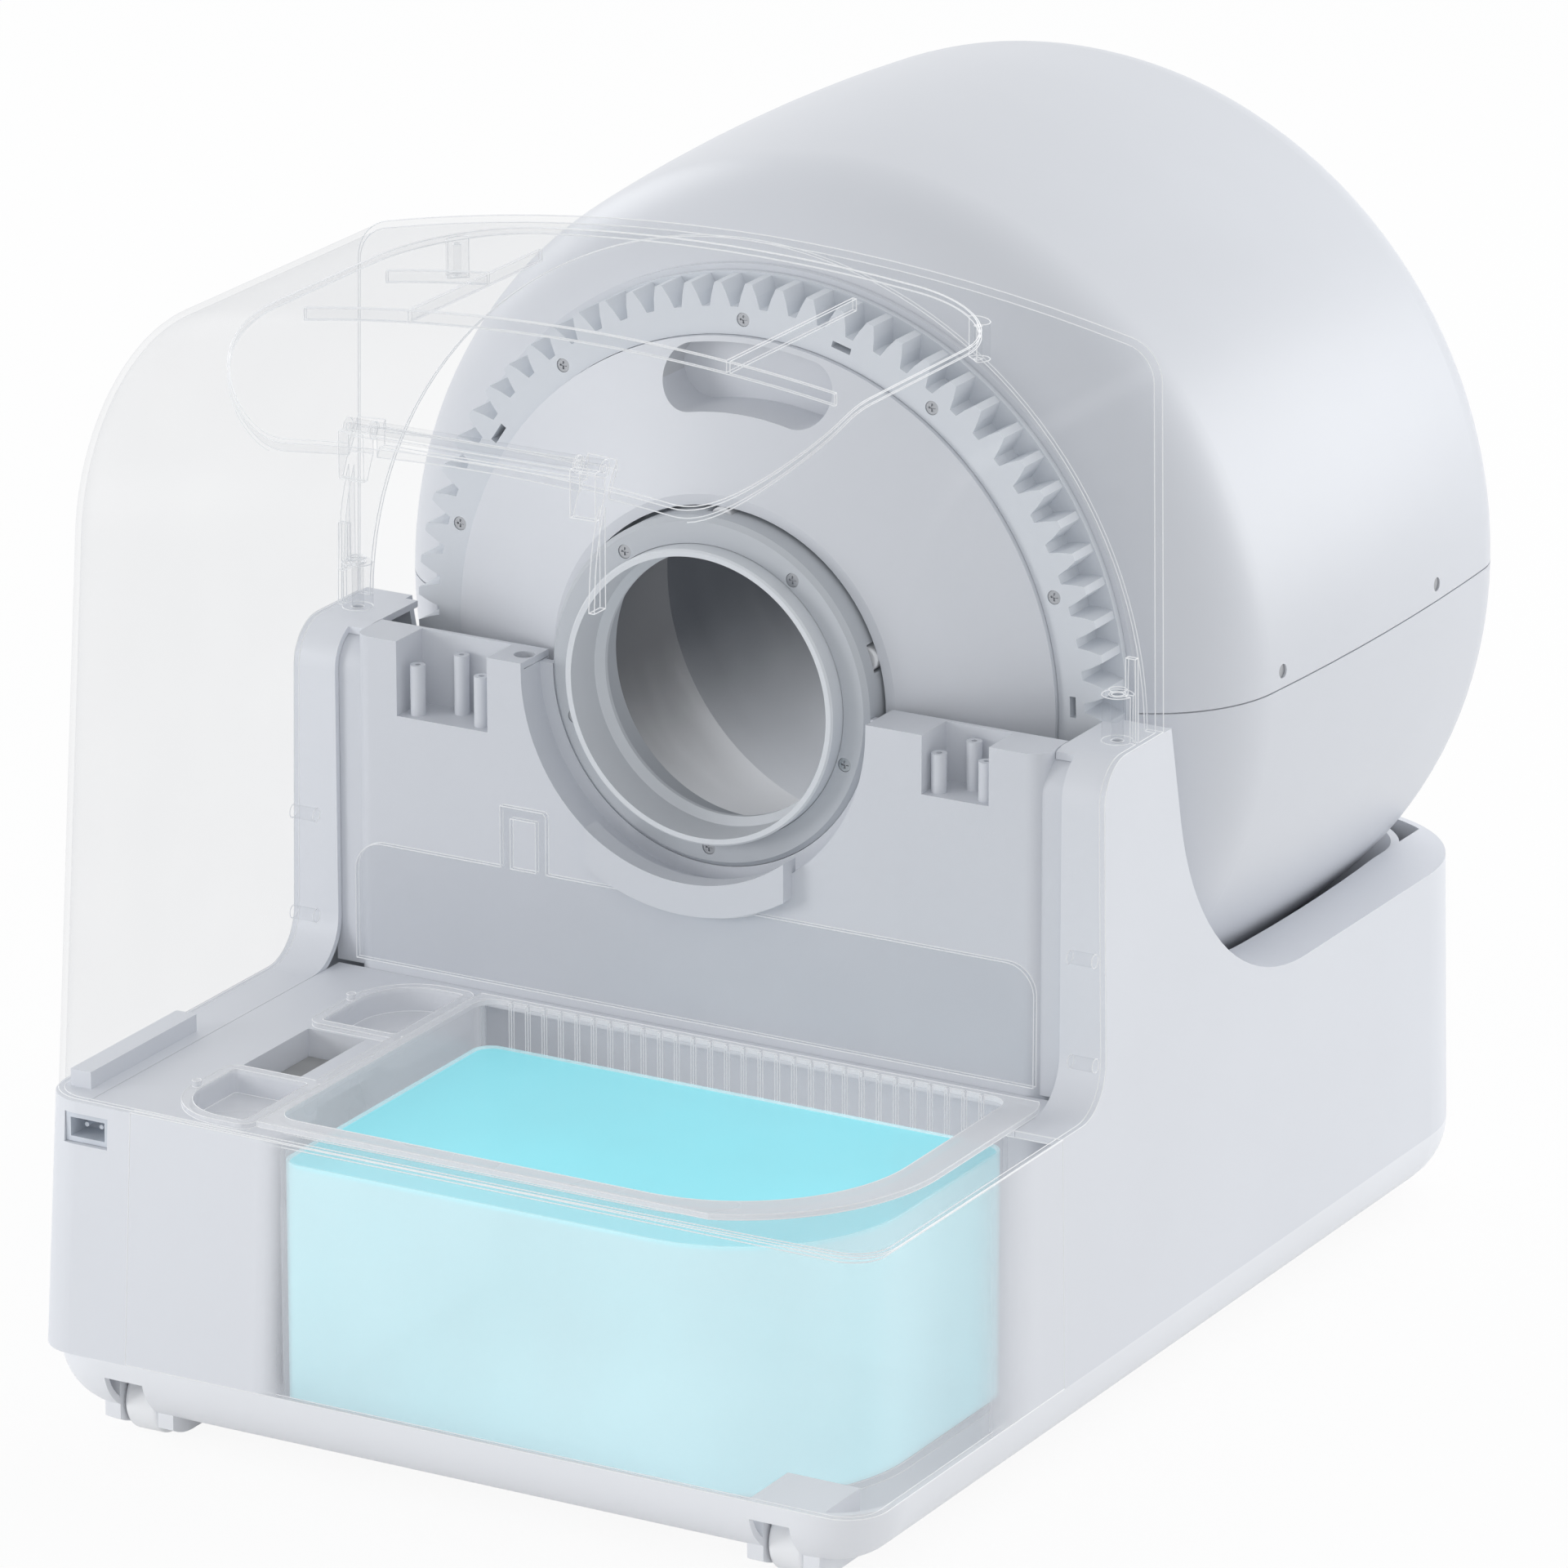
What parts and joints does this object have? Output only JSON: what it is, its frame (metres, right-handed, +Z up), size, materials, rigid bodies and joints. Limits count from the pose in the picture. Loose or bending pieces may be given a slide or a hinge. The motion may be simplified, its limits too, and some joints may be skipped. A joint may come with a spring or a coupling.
{
  "type": "self-cleaning litter box",
  "caption": "Self-cleaning litter box: a geared rotating drum on a wheeled base, with a waste nozzle over a lift-out bin under a clear service cover and hinged lid.",
  "frame": {"origin": "centre of the footprint at floor level", "axes": "+Z up, +Y from the waste bin towards the cat's entrance along the drum's axis, +X to the right when the bin faces the viewer"},
  "size_m": [0.5058, 0.696, 0.6069],
  "materials": {
    "body": "satin moulded",
    "drum": "satin moulded",
    "gear": "satin moulded",
    "collar": "satin moulded",
    "grey": "satin moulded",
    "clear": "clear moulded",
    "liner": "translucent",
    "roller": "acetal",
    "dark": "matt",
    "steel": "plated",
    "motor": "plated can",
    "rubber": "moulded",
    "board": "circuit board"
  },
  "bodies": {
    "base": {"base_shell": "body", "bottom_pan": "body", "drum_tray": "body", "bin_deck": "body", "bulkhead": "body", "fan_frame": "body", "cradle_stands": "body", "bearing_collar": "collar", "waste_nozzle": "collar", "drive_gearbox": "grey", "front_panel": "clear", "splash_guard": "clear", "service_cover": "clear", "accessory_tray": "clear", "lid_hinge_pin": "clear", "cover_screws": "clear", "sensor_window": "dark", "power_inlet": "dark", "collar_screws": "steel", "roller_pins": "steel", "motor_bracket": "steel", "wheel_axles": "steel", "cradle_axles": "steel", "drive_motor": "motor", "rubber_feet": "rubber", "control_board": "board"},
    "drum": {"drum_upper_shell": "drum", "drum_lower_shell": "drum", "seam_screws": "steel", "drum_end_cap": "drum", "bull_gear": "gear", "gear_screws": "steel", "waste_chute": "grey", "sieve_plate": "grey", "entrance_ring": "drum"},
    "pinion": {"drive_pinion": "gear"},
    "hub_roller_1": {"hub_roller_1": "roller"},
    "hub_roller_2": {"hub_roller_2": "roller"},
    "hub_roller_3": {"hub_roller_3": "roller"},
    "hub_roller_4": {"hub_roller_4": "roller"},
    "hub_roller_5": {"hub_roller_5": "roller"},
    "cradle_roller_left": {"cradle_roller_left": "roller"},
    "cradle_roller_right": {"cradle_roller_right": "roller"},
    "wheel_left": {"transport_wheel_left": "roller"},
    "wheel_right": {"transport_wheel_right": "roller"},
    "lid": {"top_lid": "clear"},
    "bin": {"waste_bin": "clear"},
    "liner": {"waste_liner": "liner"},
    "fan_rotor": {"fan_rotor": "grey"}
  },
  "joints": [
    {"name": "drum_spin", "type": "hinge", "parent": "base", "child": "drum", "pos_m": [0, -0.032, 0.354], "axis": [0, 1, 0], "continuous": true},
    {"name": "pinion_spin", "type": "hinge", "parent": "base", "child": "pinion", "pos_m": [-0.14924, -0.032, 0.16299], "axis": [0, 1, 0], "continuous": true},
    {"name": "hub_roller_1_spin", "type": "hinge", "parent": "base", "child": "hub_roller_1", "pos_m": [0.08316, -0.063, 0.38102], "axis": [0, 1, 0], "continuous": true},
    {"name": "hub_roller_2_spin", "type": "hinge", "parent": "base", "child": "hub_roller_2", "pos_m": [0, -0.063, 0.44144], "axis": [0, 1, 0], "continuous": true},
    {"name": "hub_roller_3_spin", "type": "hinge", "parent": "base", "child": "hub_roller_3", "pos_m": [-0.08316, -0.063, 0.38102], "axis": [0, 1, 0], "continuous": true},
    {"name": "hub_roller_4_spin", "type": "hinge", "parent": "base", "child": "hub_roller_4", "pos_m": [-0.0514, -0.063, 0.28326], "axis": [0, 1, 0], "continuous": true},
    {"name": "hub_roller_5_spin", "type": "hinge", "parent": "base", "child": "hub_roller_5", "pos_m": [0.0514, -0.063, 0.28326], "axis": [0, 1, 0], "continuous": true},
    {"name": "cradle_roller_left_spin", "type": "hinge", "parent": "base", "child": "cradle_roller_left", "pos_m": [-0.13209, 0.259, 0.12522], "axis": [0, 1, 0], "continuous": true},
    {"name": "cradle_roller_right_spin", "type": "hinge", "parent": "base", "child": "cradle_roller_right", "pos_m": [0.13209, 0.259, 0.12522], "axis": [0, 1, 0], "continuous": true},
    {"name": "wheel_left_spin", "type": "hinge", "parent": "base", "child": "wheel_left", "pos_m": [-0.186, -0.314, 0.0175], "axis": [1, 0, 0], "continuous": true},
    {"name": "wheel_right_spin", "type": "hinge", "parent": "base", "child": "wheel_right", "pos_m": [0.186, -0.314, 0.0175], "axis": [1, 0, 0], "continuous": true},
    {"name": "fan_spin", "type": "hinge", "parent": "base", "child": "fan_rotor", "pos_m": [-0.132, -0.227, 0.072], "axis": [1, 0, 0], "continuous": true},
    {"name": "lid_hinge", "type": "hinge", "parent": "base", "child": "lid", "pos_m": [0, -0.30428, 0.54198], "axis": [1, 0, 0], "range_deg": [0, 100]},
    {"name": "bin_lift", "type": "slide", "parent": "base", "child": "bin", "axis": [0, 0, 1], "range_m": [0, 0.12]},
    {"name": "liner_lift", "type": "slide", "parent": "bin", "child": "liner", "axis": [0, 0, 1], "range_m": [0, 0.12]}
  ],
  "couplings": [
    {"joint": "pinion_spin", "follows": "drum_spin", "ratio": -4.1765},
    {"joint": "hub_roller_1_spin", "follows": "drum_spin", "ratio": 14.462},
    {"joint": "hub_roller_2_spin", "follows": "drum_spin", "ratio": 14.462},
    {"joint": "hub_roller_3_spin", "follows": "drum_spin", "ratio": 14.462},
    {"joint": "hub_roller_4_spin", "follows": "drum_spin", "ratio": 14.462},
    {"joint": "hub_roller_5_spin", "follows": "drum_spin", "ratio": 14.462},
    {"joint": "cradle_roller_left_spin", "follows": "drum_spin", "ratio": -20.985},
    {"joint": "cradle_roller_right_spin", "follows": "drum_spin", "ratio": -20.985}
  ]
}
